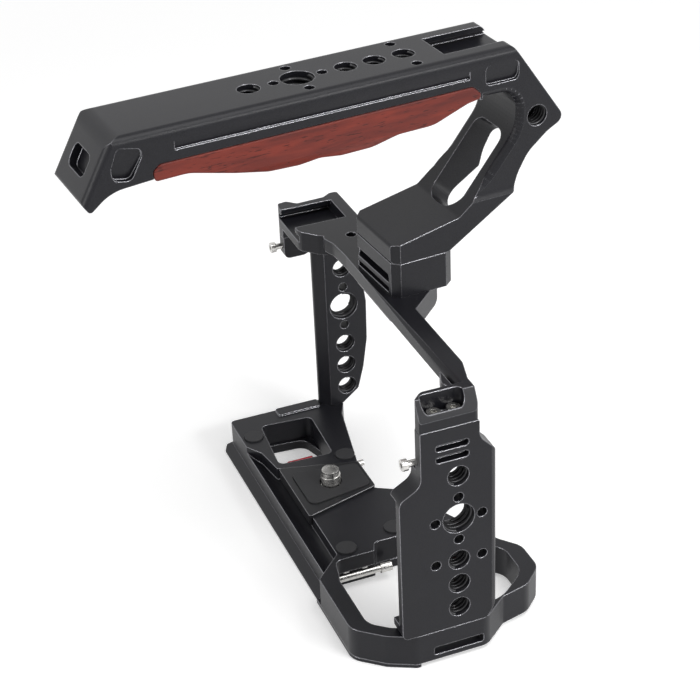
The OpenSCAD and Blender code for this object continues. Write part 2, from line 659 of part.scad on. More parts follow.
// The bracket on the grip column: a tray with thin walls and a slanted rim
module bracket() {
  rim_w = near_t / 2;
  rim_h = bracket_h - 3.1;
  difference() {
    union() {
      plan([[near_in, near_top_y + 3, 2.6], [near_in + 3, near_top_y, 2], [near_out, near_top_y, 0.6],
        [near_out, column_front_y, 1.5], [near_in, column_front_y, 0]], column_top, bridge_top);
      // the bar flares into the bracket
      plan([[near_in - 10.4, bar_y, 0], [near_in + 1, bar_y - 4.4, 3], [near_in + 1, column_front_y, 0],
        [near_in - 1, column_front_y, 3], [near_in - 10.4, bar_front - 0.2, 0]],
        bridge_top - bar_t - 2, bridge_top - eps);
    }
    plan(box_pts(near_in + 1.4, near_out - 1, near_top_y + 1.6, column_front_y - 3.4, 1.7),
      column_top + 2.4, bridge_top + cut);
    // slanted rim
    end_on([[near_out - rim_w, bridge_top + cut, 0], [near_out - rim_w, bridge_top, 0],
      [near_out, bridge_top - rim_h, 0], [near_out + cut, bridge_top - rim_h, 0],
      [near_out + cut, bridge_top + cut, 0]], near_top_y - cut, column_front_y + cut);
    for (y = bracket_screw_y) hole_z(screw_d + 2 * seat_gap, bracket_x, y, column_top - cut, column_top + 3);
  }
}

module bracket_screws() color("#c4c6c9") for (y = bracket_screw_y)
  translate([bracket_x, y, column_top + 2.4]) socket_screw(screw_d, 3.9, 1.8, 5.8);

module set_screw(l) {
  rotate([90, 0, 0]) socket_screw(set_d, set_head_d, 1.6, l);
}

module column_set_screw() color("#c4c6c9")
  translate([column_set_x, near_top_y - 2.4, column_set_z]) set_screw(7);

module lug_set_screw() color("#c4c6c9")
  translate([far_out + 2.4, lug_y - 2.4, lug_z]) set_screw(8);

// ---- Handle, in its own frame: x across it, y forward, z over the bridge or the block ----

block_y0 = -9.5;
block_y1 = 10;
pin_d = 3;
pin_x = block_w / 2 - 3.6;
corner_cut = 2.2;
bolt_top = 4.8;                         // bolt's reach into the foot

module mount_block() color("#202124") on_bridge() difference() {
  intersection() {
    plan(box_pts(-block_w / 2, block_w / 2, block_y0, block_y1, 0), 0, block_h);
    block_corners();
  }
  // two slots in the rear face with a rib between them
  end_on(box_pts(-block_w / 2 + 1.2, block_w / 2 - 3.6, block_h - 7, block_h - 4.3, 0.8),
    block_y0 - cut, block_y0 + 3);
  end_on(box_pts(-block_w / 2 + 2, block_w / 2 - 3.6, block_h - 10.2, block_h - 8.5, 0.6),
    block_y0 - cut, block_y0 + 3);
  hole_z(bolt_d + 2 * seat_gap, 0, 0, -cut, block_h + cut);
  for (s = [-1, 1]) hole_z(pin_d + 2 * seat_gap, s * pin_x, 0, block_h - 3.4, block_h + cut);
}

// The block's plan with its corners cut off
module block_corners() {
  b = block_w / 2;
  plan([[-b + corner_cut, block_y0, 0], [b - corner_cut, block_y0, 0], [b, block_y0 + corner_cut, 0],
    [b, block_y1 - 2.7, 0], [b - corner_cut, block_y1, 0], [-b + corner_cut, block_y1, 0],
    [-b, block_y1 - 2.7, 0], [-b, block_y0 + corner_cut, 0]], -cut, block_h + cut);
}

module swivel_bolt() color("#9fa2a6") on_bridge() difference() {
  union() {
    hole_z(bolt_d, 0, 0, -tongue_h + bolt_head_h - bolt_washer_t - eps, block_h + bolt_top);
    hole_z(bolt_head_d, 0, 0, -tongue_h + 0.3, -tongue_h + bolt_head_h - bolt_washer_t);
  }
  hole_z(bolt_d * 0.7, 0, 0, -tongue_h - cut, -tongue_h + 2, $fn = 6);
}

module swivel_washer() color("#8f9297") on_bridge() difference() {
  hole_z(bolt_head_d, 0, 0, -tongue_h + bolt_head_h - bolt_washer_t, -tongue_h + bolt_head_h);
  hole_z(bolt_d + 2 * seat_gap, 0, 0, -tongue_h, 0);
}

module locating_pins() color("#8f9297") on_bridge() for (s = [-1, 1])
  hole_z(pin_d, s * pin_x, 0, block_h - 3.2, block_h + 3.2);

slope_run = 9.2;                        // reach of the rear slope behind the flat top
round_shy = 0.08;                       // how far a rounding cutter stands off the faces beside it
hand_r = 5.6;                           // corner of the hand's space
arm_r = 12;                             // bend at the arm's upper end
arm_bend_z = grip_bot - 11.6;
foot_top = 13.4;
// Side outline of the handle, [y, z] over the block
handle_pts = [
  [block_y0, 0, 0.8], [8.2, 0, 2], [front_reach - 15.8, 13.6, 1],
  [front_reach - 14.4, grip_bot - 25.6, 14], [front_reach - 11, grip_bot - 19.6, 12],
  [front_reach - 4.6, grip_bot - 14.4, 10], [front_reach + 1.2, grip_bot - 11.4, 2.5],
  [front_reach - 15.5, handle_h, 2], [-rear_reach + slope_run, handle_h, 6],
  [-rear_reach, grip_bot - 2.8, 1.2], [-rear_reach + 1.8, grip_bot - 5.6, 1],
  [-rear_reach + 7.9, grip_bot - 0.8, 12], [wood_v0, grip_bot, 2],
  [arm_rear, grip_bot, hand_r], [arm_rear, arm_bend_z, arm_r], [16.1, foot_top, 3],
  [11.8, 9.9, 2], [block_y0, 5.6, 1]];
arm_l = norm([arm_rear - 16.1, arm_bend_z - foot_top]);
arm_tilt = atan2(arm_rear - 16.1, arm_bend_z - foot_top);
slope_tilt = atan2(handle_h - grip_bot + 2.8, slope_run);
slope_w = handle_w + 2 * round_shy;     // its rounding crosses the side faces at a small angle
hole_row = [-44.7, -15.9, -7.2, 1.8];   // quarter-inch holes along the top
big_y = -30.4;
shoe_y0 = 11;
shoe_floor = handle_h - shoe_t - lip_t;

// The frame of the rear slope: origin on its top edge, +Y up along it, +Z out of it
module on_slope() {
  translate([0, -rear_reach + slope_run, handle_h]) rotate([slope_tilt, 0, 0]) children();
}

module handle_body() color("#1c1d20") on_block() difference() {
  intersection() {
    side_on(handle_pts, -block_w / 2, block_w / 2);
    // section across: foot, flare to the arm, rounded top edges
    end_on([[-block_w / 2, -cut, 0], [block_w / 2, -cut, 0], [block_w / 2, foot_top, 0],
      [handle_w / 2, foot_top + 1.6, 6], [handle_w / 2, handle_h, top_round],
      [-handle_w / 2, handle_h, top_round], [-handle_w / 2, foot_top + 1.6, 6],
      [-block_w / 2, foot_top, 0]], -rear_reach - 5, front_reach + 5);
    // the rear slope has rounded side edges too
    union() {
      on_slope() end_on([[-slope_w / 2, -40, 0], [slope_w / 2, -40, 0], [slope_w / 2, 0, top_round],
        [-slope_w / 2, 0, top_round]], -60, 60);
      translate([-block_w, -rear_reach + 25, -cut]) cube([2 * block_w, 200, 90]);
    }
    union() {
      block_corners();
      translate([-block_w, -rear_reach - 5, block_h / 2 + 2]) cube([2 * block_w, 200, 90]);
      translate([-block_w, 0, -cut]) cube([2 * block_w, 90, 90]);
    }
  }
  // slot down through the sloping arm
  translate([0, 16.1, foot_top]) rotate([-arm_tilt, 0, 0]) translate([0, 14, 0]) rotate([90, 0, 0])
    linear_extrude(24) polygon(rounded([[-arm_slot_w / 2, -5.8, 6], [arm_slot_w / 2, -5.8, 6],
      [arm_slot_w / 2, arm_l - 3.1, 3.5], [-arm_slot_w / 2, arm_l - 3.1, 3.5]]));
  // top holes, tapped right through the grip
  for (y = hole_row) hole_z(quarter_d, 0, y, grip_bot - cut, handle_h + cut);
  hole_z(big_d, 0, big_y, grip_bot - cut, handle_h + cut);
  for (p = [[0, big_y - loc_pitch], [0, big_y + loc_pitch + 0.4], [-loc_pitch - 0.7, big_y],
      [loc_pitch + 0.7, big_y], [-loc_pitch - 0.9, hole_row[3]], [loc_pitch + 0.9, hole_row[3]]])
    hole_z(loc_d, p[0], p[1], handle_h - 6, handle_h + cut);
  // cold shoe, open at the front
  translate([0, 0, shoe_floor]) shoe_space(shoe_y0, front_reach, 0);
  hole_z(1.8 + 2 * fit, stop_x, stop_y, shoe_floor - 6, shoe_floor + cut);
  for (s = [-1, 1]) side_cuts(s);
  hole_x(quarter_d, handle_w / 2 - 6, handle_w / 2 + cut, front_reach - 8, grip_bot - 8.8);
  hole_z(bolt_d + 2 * seat_gap, 0, 0, -cut, bolt_top + 0.5);
  for (s = [-1, 1]) hole_z(pin_d + 2 * seat_gap, s * pin_x, 0, -cut, 3.4);
  for (p = wood_screw_places) wood_screw_hole(p, core_w / 2 + cut);
  // pocket in the sloping rear face
  on_slope() plan(box_pts(-5.7, 5.7, -13.4, -6.9, 2), -2.5, cut);
}

stop_x = shoe_gap / 2 - 1;
stop_y = front_reach - 19.6;
core_w = handle_w - 2 * wood_t;

// Section of the cutter that rounds the edge x = 0, y = 0 of a solid at x < 0, y > 0
function round_cut(r) = concat([[-r, -cut], [cut, -cut], [cut, r]],
  [for (a = [0:15:90]) [(r + round_shy) * cos(a) - r, r - (r + round_shy) * sin(a)]]);

// Rounds the near edge of the handle along a path of [y, z] points, the solid on its left
module rim_round(path, r) for (i = [1:len(path) - 1]) {
  d = unit(path[i] - path[i - 1]);
  translate([handle_w / 2, path[i][0], path[i][1]]) rotate([atan2(d[0], -d[1]), 0, 0])
    translate([0, 0, -round_lap]) linear_extrude(norm(path[i] - path[i - 1]) + 2 * round_lap)
      polygon(round_cut(r));
}

round_lap = 0.15;                       // how far the cutters of a rounded rim overlap
arm_fade = 2.9;                         // how far its path leaves the arm at the end
// From the grip's underside round the hand's space and down the arm
hand_path = concat([[wood_v1 + 1, grip_bot]],
  corner([0, grip_bot], [arm_rear, grip_bot], [arm_rear, arm_bend_z], hand_r),
  corner([arm_rear, grip_bot], [arm_rear, arm_bend_z], [16.1, foot_top], arm_r),
  [for (i = [0:4]) [16.1, foot_top] + (10 - 2.1 * i) * [sin(arm_tilt), cos(arm_tilt)]
    + arm_fade * pow(i / 4, 2) * [-cos(arm_tilt), sin(arm_tilt)]]);

// A side pocket, deepest along its lower edge z0 and running out at z1
module scoop(pts, z0, z1, depth) intersection() {
  side_on(pts, handle_w / 2 - depth, handle_w / 2 + cut);
  end_on([[handle_w / 2 - depth, z0, 0], [handle_w / 2 + cut, z0, 0], [handle_w / 2 + cut, z1, 0],
    [handle_w / 2, z1, 0]], -rear_reach, front_reach);
}

// What is cut into each side of the handle: s is -1 on the far side and 1 on the near side
module side_cuts(s) mirror([s < 0 ? 1 : 0, 0, 0]) {
  x = handle_w / 2;
  // groove along the grip, and the pockets at its ends
  scoop(box_pts(-71.1, 16, handle_h - 6.6, handle_h - 4.2, 0), handle_h - 6.6, handle_h - 4.2, 0.8);
  scoop(box_pts(21, 31.5, handle_h - 9.7, handle_h - 3.9, 1.5), handle_h - 9.7, handle_h - 3.9, 1.2);
  scoop([[-88.6, 46.2, 2], [-83.6, 45.2, 2], [-80.2, 51.3, 1], [-80.3, 53.6, 1.5], [-86.6, 55, 1.5],
    [-88.8, 49.5, 2]], grip_bot + 0.8, handle_h - 2.6, 1.8);
  rim_round(hand_path, arm_round);
  // seat of the wood insert, open below
  side_on(concat([[wood_v1 + seat_gap, grip_bot - 9, 0]], wood_top(seat_gap),
    [[wood_v0 - seat_gap, grip_bot - 9, 0]]), x - wood_t - seat_gap, x + cut);
}

arm_round = 2.6;

// Upper outline of a wood insert, grown by g for its seat
function wood_top(g) = [
  [wood_v1 + g, grip_bot + wood_up - 2.2 + 0.4 * g, 1.2],
  [wood_v1 - 2.2 + 0.4 * g, grip_bot + wood_up + g, 2],
  [wood_v0 + 1.8 - 0.4 * g, grip_bot + wood_up - 0.6 + g, 1.6],
  [wood_v0 - g, grip_bot + wood_up - 2.2 + 0.4 * g, 1.2]];
// Its wavy belly: [share of the length, share of the dip, radius]
wood_belly = [[0, 0.09, 1], [0.098, 0.06, 12], [0.336, 0.91, 12], [0.43, 0.97, 10], [0.492, 0.84, 8],
  [0.559, 1, 8], [0.657, 0.97, 10], [0.735, 0.62, 8], [0.844, 0.59, 10], [0.958, 0, 8], [1, -0.1, 0.8]];
wood_pts = concat(wood_top(0),
  [for (b = wood_belly) [wood_v0 + wood_l * b[0], grip_bot - wood_dip * b[1], b[2]]]);

module wood(s) on_block() mirror([s < 0 ? 1 : 0, 0, 0]) difference() {
  side_on(wood_pts, handle_w / 2 - wood_t, handle_w / 2 + 0.3);
  // slant under the belly's outer edge
  end_on([[handle_w / 2 + 2, grip_bot - 12, 0], [handle_w / 2 + 2, grip_bot + 0.2, 0],
    [handle_w / 2 - 3.4, grip_bot - 12, 0]], wood_v0 - cut, wood_v1 + cut);
  for (p = wood_screw_places) if (p[0] == s)
    mirror([s < 0 ? 1 : 0, 0, 0]) wood_screw_hole(p, handle_w / 2 - 2);
}

module wood_left() color("#6b2418") wood(-1);

module wood_right() color("#6b2418") wood(1);

// Hidden screws that hold each insert to the core: [side, y]
wood_screw_places = [[-1, -60], [-1, 8], [1, -53], [1, 12]];
wood_screw_z = grip_bot + 2.2;

module wood_screw_hole(p, reach) {
  x0 = min(-p[0] * (core_w / 2 + cut), p[0] * reach);
  hole_x(screw_d + 2 * seat_gap, x0, max(-p[0] * (core_w / 2 + cut), p[0] * reach), p[1], wood_screw_z);
}

module wood_screws() color("#b9bcc0") on_block() for (p = wood_screw_places) {
  x0 = min(-p[0] * (core_w / 2 - 0.5), p[0] * (handle_w / 2 - 2.4));
  hole_x(screw_d, x0, max(-p[0] * (core_w / 2 - 0.5), p[0] * (handle_w / 2 - 2.4)), p[1], wood_screw_z);
}

module shoe_stop_screw() color("#b9bcc0") on_block()
  translate([stop_x, stop_y, shoe_floor + 0.1]) socket_screw(1.8, 3.2, 1.3, 5);

base_frame();
dovetail_plate();
dovetail_screws();
grip_column();
far_column();
centre_plate();
seat_pad();
round_pads();
camera_screw();
screw_clip();
hex_key();
key_magnets();
lock_slide();
front_set_screw();
top_bridge();
bracket_screws();
column_set_screw();
lug_set_screw();
mount_block();
swivel_bolt();
swivel_washer();
locating_pins();
handle_body();
wood_left();
wood_right();
wood_screws();
shoe_stop_screw();
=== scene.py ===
"""Camera cage with a top handle: black anodised aluminium, steel screws, rubber pads, wood inserts."""
import json
import math

import bmesh
import bpy
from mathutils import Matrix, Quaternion, Vector


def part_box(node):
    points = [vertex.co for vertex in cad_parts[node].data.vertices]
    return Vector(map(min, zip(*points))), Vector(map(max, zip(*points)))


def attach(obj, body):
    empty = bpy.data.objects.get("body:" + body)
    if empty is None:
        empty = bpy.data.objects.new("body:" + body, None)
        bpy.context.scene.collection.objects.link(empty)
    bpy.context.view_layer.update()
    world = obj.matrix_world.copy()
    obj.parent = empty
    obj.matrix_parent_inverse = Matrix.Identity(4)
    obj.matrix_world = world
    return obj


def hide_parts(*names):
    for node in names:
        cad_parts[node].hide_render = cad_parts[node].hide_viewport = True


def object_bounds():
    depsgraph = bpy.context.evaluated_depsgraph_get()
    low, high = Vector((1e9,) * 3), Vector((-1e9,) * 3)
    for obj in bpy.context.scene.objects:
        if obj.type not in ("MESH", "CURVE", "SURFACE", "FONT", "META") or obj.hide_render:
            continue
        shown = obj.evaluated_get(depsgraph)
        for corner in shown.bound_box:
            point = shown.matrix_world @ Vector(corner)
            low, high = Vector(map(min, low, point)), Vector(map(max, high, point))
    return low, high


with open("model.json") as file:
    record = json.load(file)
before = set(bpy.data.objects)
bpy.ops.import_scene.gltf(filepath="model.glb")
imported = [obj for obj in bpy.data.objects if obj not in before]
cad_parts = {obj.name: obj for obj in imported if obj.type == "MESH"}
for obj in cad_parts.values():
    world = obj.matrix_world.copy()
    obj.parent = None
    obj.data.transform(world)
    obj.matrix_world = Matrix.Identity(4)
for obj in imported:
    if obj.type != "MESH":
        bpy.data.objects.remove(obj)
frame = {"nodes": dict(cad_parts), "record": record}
cad_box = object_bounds()

# ---- Camera, lamps and floor --------------------------------------------------------------
# The cage stands on a plain pale floor, seen from its grip side and a little from above.
# One large soft lamp overhead, a narrow one over the near side and two at the sides, with a
# white surround.
scene = bpy.context.scene
scene.view_settings.view_transform = "Standard"

camera = bpy.data.objects.new("camera", bpy.data.cameras.new("camera"))
scene.collection.objects.link(camera)
azimuth, elevation, roll = math.radians(159.6347), math.radians(31.1718), math.radians(2.637)
looking = Vector((math.cos(elevation) * math.cos(azimuth), math.cos(elevation) * math.sin(azimuth),
                  -math.sin(elevation)))
camera.location = (0.4550, -0.1604, 0.3399)
camera.rotation_mode = "QUATERNION"
camera.rotation_quaternion = looking.to_track_quat("-Z", "Y") @ Quaternion((0, 0, 1), -roll)
camera.data.sensor_width = 36
camera.data.lens = 95.85
camera.data.clip_start, camera.data.clip_end = 0.01, 20
scene.camera = camera


def soft_lamp(name, place, aim, size, power):
    """A rectangular lamp turned towards a point."""
    lamp = bpy.data.lights.new(name, "AREA")
    lamp.shape, lamp.size, lamp.size_y, lamp.energy = "RECTANGLE", size[0], size[1], power
    holder = bpy.data.objects.new(name, lamp)
    holder.location = place
    holder.rotation_mode = "QUATERNION"
    holder.rotation_quaternion = (Vector(aim) - Vector(place)).to_track_quat("-Z", "Y")
    scene.collection.objects.link(holder)


soft_lamp("lamp_top", (0.35, 0.22, 0.95), (0, 0, 0.06), (0.5, 0.5), 3.0)
soft_lamp("lamp_near", (0.72, 0.40, 0.52), (0, 0, 0.10), (0.35, 0.12), 2.6)
soft_lamp("lamp_front", (0.55, 0.75, 0.30), (0, 0, 0.05), (0.4, 0.4), 2.2)
soft_lamp("lamp_rear", (0.15, -0.95, 0.45), (0, 0, 0.06), (0.4, 0.4), 2.6)


def white_where_seen(nodes, links, grey_shader, white_shader, out):
    """Shows the second shader to the camera, to mirrors and through glass, and the first to the rest."""
    path = nodes.new("ShaderNodeLightPath")
    either = nodes.new("ShaderNodeMath")
    either.operation = "MAXIMUM"
    also = nodes.new("ShaderNodeMath")
    also.operation = "MAXIMUM"
    mix = nodes.new("ShaderNodeMixShader")
    links.new(path.outputs["Is Camera Ray"], either.inputs[0])
    links.new(path.outputs["Is Glossy Ray"], either.inputs[1])
    links.new(either.outputs[0], also.inputs[0])
    links.new(path.outputs["Is Transmission Ray"], also.inputs[1])
    links.new(also.outputs[0], mix.inputs[0])
    links.new(grey_shader, mix.inputs[1])
    links.new(white_shader, mix.inputs[2])
    links.new(mix.outputs[0], out)


surround = bpy.data.worlds.new("surround")
scene.world = surround
surround.use_nodes = True
surround.node_tree.nodes.clear()
shade = surround.node_tree.nodes.new("ShaderNodeBackground")
shade.inputs["Color"].default_value = (1, 1, 1, 1)
shade.inputs["Strength"].default_value = 0.4
seen = surround.node_tree.nodes.new("ShaderNodeBackground")
seen.inputs["Color"].default_value = (1, 1, 1, 1)
seen.inputs["Strength"].default_value = 1.0
world_out = surround.node_tree.nodes.new("ShaderNodeOutputWorld")
white_where_seen(surround.node_tree.nodes, surround.node_tree.links, shade.outputs[0],
                 seen.outputs[0], world_out.inputs[0])

FLOOR_HALF, FLOOR_GAP = 3, 0.0002
floor_mesh = bpy.data.meshes.new("floor")
floor_z = cad_box[0].z - FLOOR_GAP
floor_corners = [(x * FLOOR_HALF, y * FLOOR_HALF, floor_z) for x, y in [(-1, -1), (1, -1), (1, 1), (-1, 1)]]
floor_mesh.from_pydata(floor_corners, [], [(0, 1, 2, 3)])
floor = bpy.data.objects.new("floor", floor_mesh)
scene.collection.objects.link(floor)
paper = bpy.data.materials.new("floor_paper")
paper.use_nodes = True
bsdf = paper.node_tree.nodes["Principled BSDF"]
bsdf.inputs["Base Color"].default_value = (0.93, 0.93, 0.93, 1)
bsdf.inputs["Roughness"].default_value = 0.9
bsdf.inputs["Specular IOR Level"].default_value = 0.1
# the camera sees the paper a little brighter than it is, so that only the shadow is grey
glow = paper.node_tree.nodes.new("ShaderNodeEmission")
glow.inputs["Strength"].default_value = 0.34
lit = paper.node_tree.nodes.new("ShaderNodeAddShader")
paper.node_tree.links.new(bsdf.outputs[0], lit.inputs[0])
paper.node_tree.links.new(glow.outputs[0], lit.inputs[1])
# far from the cage it turns as white as the surround
place = paper.node_tree.nodes.new("ShaderNodeTexCoord")
distance = paper.node_tree.nodes.new("ShaderNodeVectorMath")
distance.operation = "LENGTH"
fading = paper.node_tree.nodes.new("ShaderNodeMapRange")
fading.interpolation_type = "SMOOTHSTEP"
fading.inputs["From Min"].default_value = 0.2
fading.inputs["From Max"].default_value = 0.7
blank = paper.node_tree.nodes.new("ShaderNodeEmission")
faded = paper.node_tree.nodes.new("ShaderNodeMixShader")
for link in [
        (place.outputs["Object"], distance.inputs[0]), (distance.outputs["Value"], fading.inputs["Value"]),
        (fading.outputs[0], faded.inputs[0]), (lit.outputs[0], faded.inputs[1]),
        (blank.outputs[0], faded.inputs[2])]:
    paper.node_tree.links.new(*link)
white_where_seen(paper.node_tree.nodes, paper.node_tree.links, bsdf.outputs[0],
                 faded.outputs[0], paper.node_tree.nodes["Material Output"].inputs[0])
floor_mesh.materials.append(paper)

# ---- Base -----------------------------------------------------------------------------------
# One plate with the grip loop, milled from aluminium, blasted with glass beads and anodised
# black. The cutter eased its edges, and they are smoother than the faces. Their lighter, metallic colour is a
# painted highlight, partly also their thinner coating.


def new_group(name, inputs, outputs):
    """A shader node group with its sockets, and its input and output nodes."""
    group = bpy.data.node_groups.new(name, "ShaderNodeTree")
    for label, kind, value in inputs:
        socket = group.interface.new_socket(label, in_out="INPUT", socket_type=kind)
        if value is not None:
            socket.default_value = value
    for label, kind in outputs:
        group.interface.new_socket(label, in_out="OUTPUT", socket_type=kind)
    return group, group.nodes.new("NodeGroupInput"), group.nodes.new("NodeGroupOutput")


def math_node(nodes, operation, *values):
    """A maths node of a shader tree, with its first values."""
    node = nodes.new("ShaderNodeMath")
    node.operation = operation
    for socket, value in zip(node.inputs, values):
        socket.default_value = value
    return node


FLOAT, COLOUR, VECTOR = "NodeSocketFloat", "NodeSocketColor", "NodeSocketVector"

# Edge easing: turns the surface smoothly round each edge, and says where that is
easing, easing_in, easing_out = new_group(
    "eased_edge", [("Width", FLOAT, 0.0004), ("Gain", FLOAT, 3.0)],
    [("Mask", FLOAT), ("Normal", VECTOR)])
turn = easing.nodes.new("ShaderNodeBevel")
turn.samples = 6
facing = easing.nodes.new("ShaderNodeNewGeometry")
same = easing.nodes.new("ShaderNodeVectorMath")
same.operation = "DOT_PRODUCT"
away = math_node(easing.nodes, "SUBTRACT", 1.0)
strong = math_node(easing.nodes, "MULTIPLY")
strong.use_clamp = True
for link in [
        (easing_in.outputs["Width"], turn.inputs["Radius"]), (turn.outputs["Normal"], same.inputs[0]),
        (facing.outputs["Normal"], same.inputs[1]), (same.outputs["Value"], away.inputs[1]),
        (away.outputs[0], strong.inputs[0]), (easing_in.outputs["Gain"], strong.inputs[1]),
        (strong.outputs[0], easing_out.inputs["Mask"]),
        (turn.outputs["Normal"], easing_out.inputs["Normal"])]:
    easing.links.new(*link)

# Blasted grain: fine pits with slow cloudiness, as colour, roughness and normal
blast, blast_in, blast_out = new_group(
    "bead_blast",
    [("Color", COLOUR, (0.02, 0.02, 0.02, 1)), ("Roughness", FLOAT, 0.45), ("Normal", VECTOR, None),
     ("Grain", FLOAT, 3500.0), ("Depth", FLOAT, 0.25), ("Speckle", FLOAT, 0.3), ("Cloud", FLOAT, 0.15)],
    [("Color", COLOUR), ("Roughness", FLOAT), ("Normal", VECTOR)])
where = blast.nodes.new("ShaderNodeTexCoord")
pits = blast.nodes.new("ShaderNodeTexNoise")
pits.inputs["Detail"].default_value = 2
clouds = blast.nodes.new("ShaderNodeTexNoise")
clouds.inputs["Scale"].default_value = 60
clouds.inputs["Detail"].default_value = 3
pit_bump = blast.nodes.new("ShaderNodeBump")
pit_bump.inputs["Distance"].default_value = 0.00006
pit_off = math_node(blast.nodes, "SUBTRACT", 0, 0.5)
cloud_off = math_node(blast.nodes, "SUBTRACT", 0, 0.5)
pit_part = math_node(blast.nodes, "MULTIPLY")
cloud_part = math_node(blast.nodes, "MULTIPLY")
both = math_node(blast.nodes, "ADD")
level = math_node(blast.nodes, "MULTIPLY_ADD", 0, 2.0, 1.0)
rough_part = math_node(blast.nodes, "MULTIPLY_ADD", 0, 0.35)
shaded = blast.nodes.new("ShaderNodeVectorMath")
shaded.operation = "SCALE"
for link in [
        (where.outputs["Object"], pits.inputs["Vector"]), (where.outputs["Object"], clouds.inputs["Vector"]),
        (blast_in.outputs["Grain"], pits.inputs["Scale"]), (pits.outputs["Fac"], pit_bump.inputs["Height"]),
        (blast_in.outputs["Depth"], pit_bump.inputs["Strength"]),
        (blast_in.outputs["Normal"], pit_bump.inputs["Normal"]),
        (pits.outputs["Fac"], pit_off.inputs[0]), (clouds.outputs["Fac"], cloud_off.inputs[0]),
        (pit_off.outputs[0], pit_part.inputs[0]), (blast_in.outputs["Speckle"], pit_part.inputs[1]),
        (cloud_off.outputs[0], cloud_part.inputs[0]), (blast_in.outputs["Cloud"], cloud_part.inputs[1]),
        (pit_part.outputs[0], both.inputs[0]), (cloud_part.outputs[0], both.inputs[1]),
        (both.outputs[0], level.inputs[0]), (blast_in.outputs["Color"], shaded.inputs[0]),
        (level.outputs[0], shaded.inputs["Scale"]), (both.outputs[0], rough_part.inputs[0]),
        (blast_in.outputs["Roughness"], rough_part.inputs[2]),
        (shaded.outputs[0], blast_out.inputs["Color"]),
        (rough_part.outputs[0], blast_out.inputs["Roughness"]),
        (pit_bump.outputs["Normal"], blast_out.inputs["Normal"])]:
    blast.links.new(*link)


def anodised(name, color, roughness, edge_highlight_color, edge_roughness, ease=0.0004, gain=8.0, metallic=0.0,
             **grain):
    """Anodised metal: the blasted face, and the smoother edge that the cutter eased, painted lighter and
    metallic as a highlight, partly also as its thinner coating.
    """
    material = bpy.data.materials.new(name)
    material.use_nodes = True
    nodes, links = material.node_tree.nodes, material.node_tree.links
    surface = nodes["Principled BSDF"]
    surface.inputs["Specular IOR Level"].default_value = 0.24
    edge_metallic = nodes.new("ShaderNodeMix")
    edge_metallic.inputs["A"].default_value = metallic
    edge_metallic.inputs["B"].default_value = 1.0
    edge = nodes.new("ShaderNodeGroup")
    edge.node_tree = easing
    edge.inputs["Width"].default_value = ease
    edge.inputs["Gain"].default_value = gain
    # the edge colour is a painted highlight along every eased edge, concave ones too; only part of it is the
    # thinner coating there
    highlight_tint = nodes.new("ShaderNodeMix")
    highlight_tint.data_type = "RGBA"
    highlight_tint.inputs["A"].default_value = (*color, 1)
    highlight_tint.inputs["B"].default_value = (*edge_highlight_color, 1)
    sheen = nodes.new("ShaderNodeMix")
    sheen.inputs["A"].default_value = roughness
    sheen.inputs["B"].default_value = edge_roughness
    finish = nodes.new("ShaderNodeGroup")
    finish.node_tree = blast
    for label, value in grain.items():
        finish.inputs[label].default_value = value
    for link in [
            (edge.outputs["Mask"], highlight_tint.inputs["Factor"]), (edge.outputs["Mask"], sheen.inputs["Factor"]),
            (edge.outputs["Mask"], edge_metallic.inputs["Factor"]),
            (edge_metallic.outputs["Result"], surface.inputs["Metallic"]),
            (highlight_tint.outputs["Result"], finish.inputs["Color"]),
            (sheen.outputs["Result"], finish.inputs["Roughness"]),
            (edge.outputs["Normal"], finish.inputs["Normal"]),
            (finish.outputs["Color"], surface.inputs["Base Color"]),
            (finish.outputs["Roughness"], surface.inputs["Roughness"]),
            (finish.outputs["Normal"], surface.inputs["Normal"])]:
        links.new(*link)
    return material


body_of = {node: body for body, members in frame["record"]["behaviour"]["bodies"].items()
           for node in members}
JOIN_WITHIN = 2e-6
SMOOTH_UNDER = 28  # degrees between two faces that are shaded as one


def joined(node):
    """A copy of a CAD node's mesh with its loose triangles joined up."""
    mesh = frame["nodes"][node].data.copy()
    shape = bmesh.new()
    shape.from_mesh(mesh)
    bmesh.ops.remove_doubles(shape, verts=shape.verts, dist=JOIN_WITHIN)
    shape.to_mesh(mesh)
    shape.free()
    mesh.materials.clear()
    return mesh


def finished(node, mesh, material, name=None):
    """A piece that stands for a CAD node: smooth round its curves, crisp at its corners."""
    piece = bpy.data.objects.new(name or node + "_finished", mesh)
    scene.collection.objects.link(piece)
    mesh.materials.append(material)
    # each corner takes the mean normal of the faces round it that turn less than SMOOTH_UNDER
    round_point = [[] for _ in mesh.vertices]
    for face in mesh.polygons:
        face.use_smooth = True
        for corner in face.vertices:
            round_point[corner].append((face.normal.copy(), face.area))
    least = math.cos(math.radians(SMOOTH_UNDER))
    normals = []
    for face in mesh.polygons:
        for corner in face.vertices:
            mean = Vector()
            for normal, area in round_point[corner]:
                if normal.dot(face.normal) > least:
                    mean += normal * area
            normals.append(mean.normalized() if mean.length > 0 else face.normal)
    mesh.normals_split_custom_set(normals)
    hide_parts(node)
    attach(piece, body_of[node])
    return piece


BLACK = (0.0105, 0.0105, 0.0135)
# its fourth value, the light edge colour, is a painted highlight along the edges
black = anodised("black_anodised", BLACK, 0.36, (0.29, 0.29, 0.31), 0.2, Speckle=0.5)
finished("base_frame", joined("base_frame"), black)

# ---- Dovetail plate -------------------------------------------------------------------------
# The rail of a quick-release clamp, milled and anodised like the base. Four steel screws with
# sunk socket heads hold it from below.
finished("dovetail_plate", joined("dovetail_plate"), black)

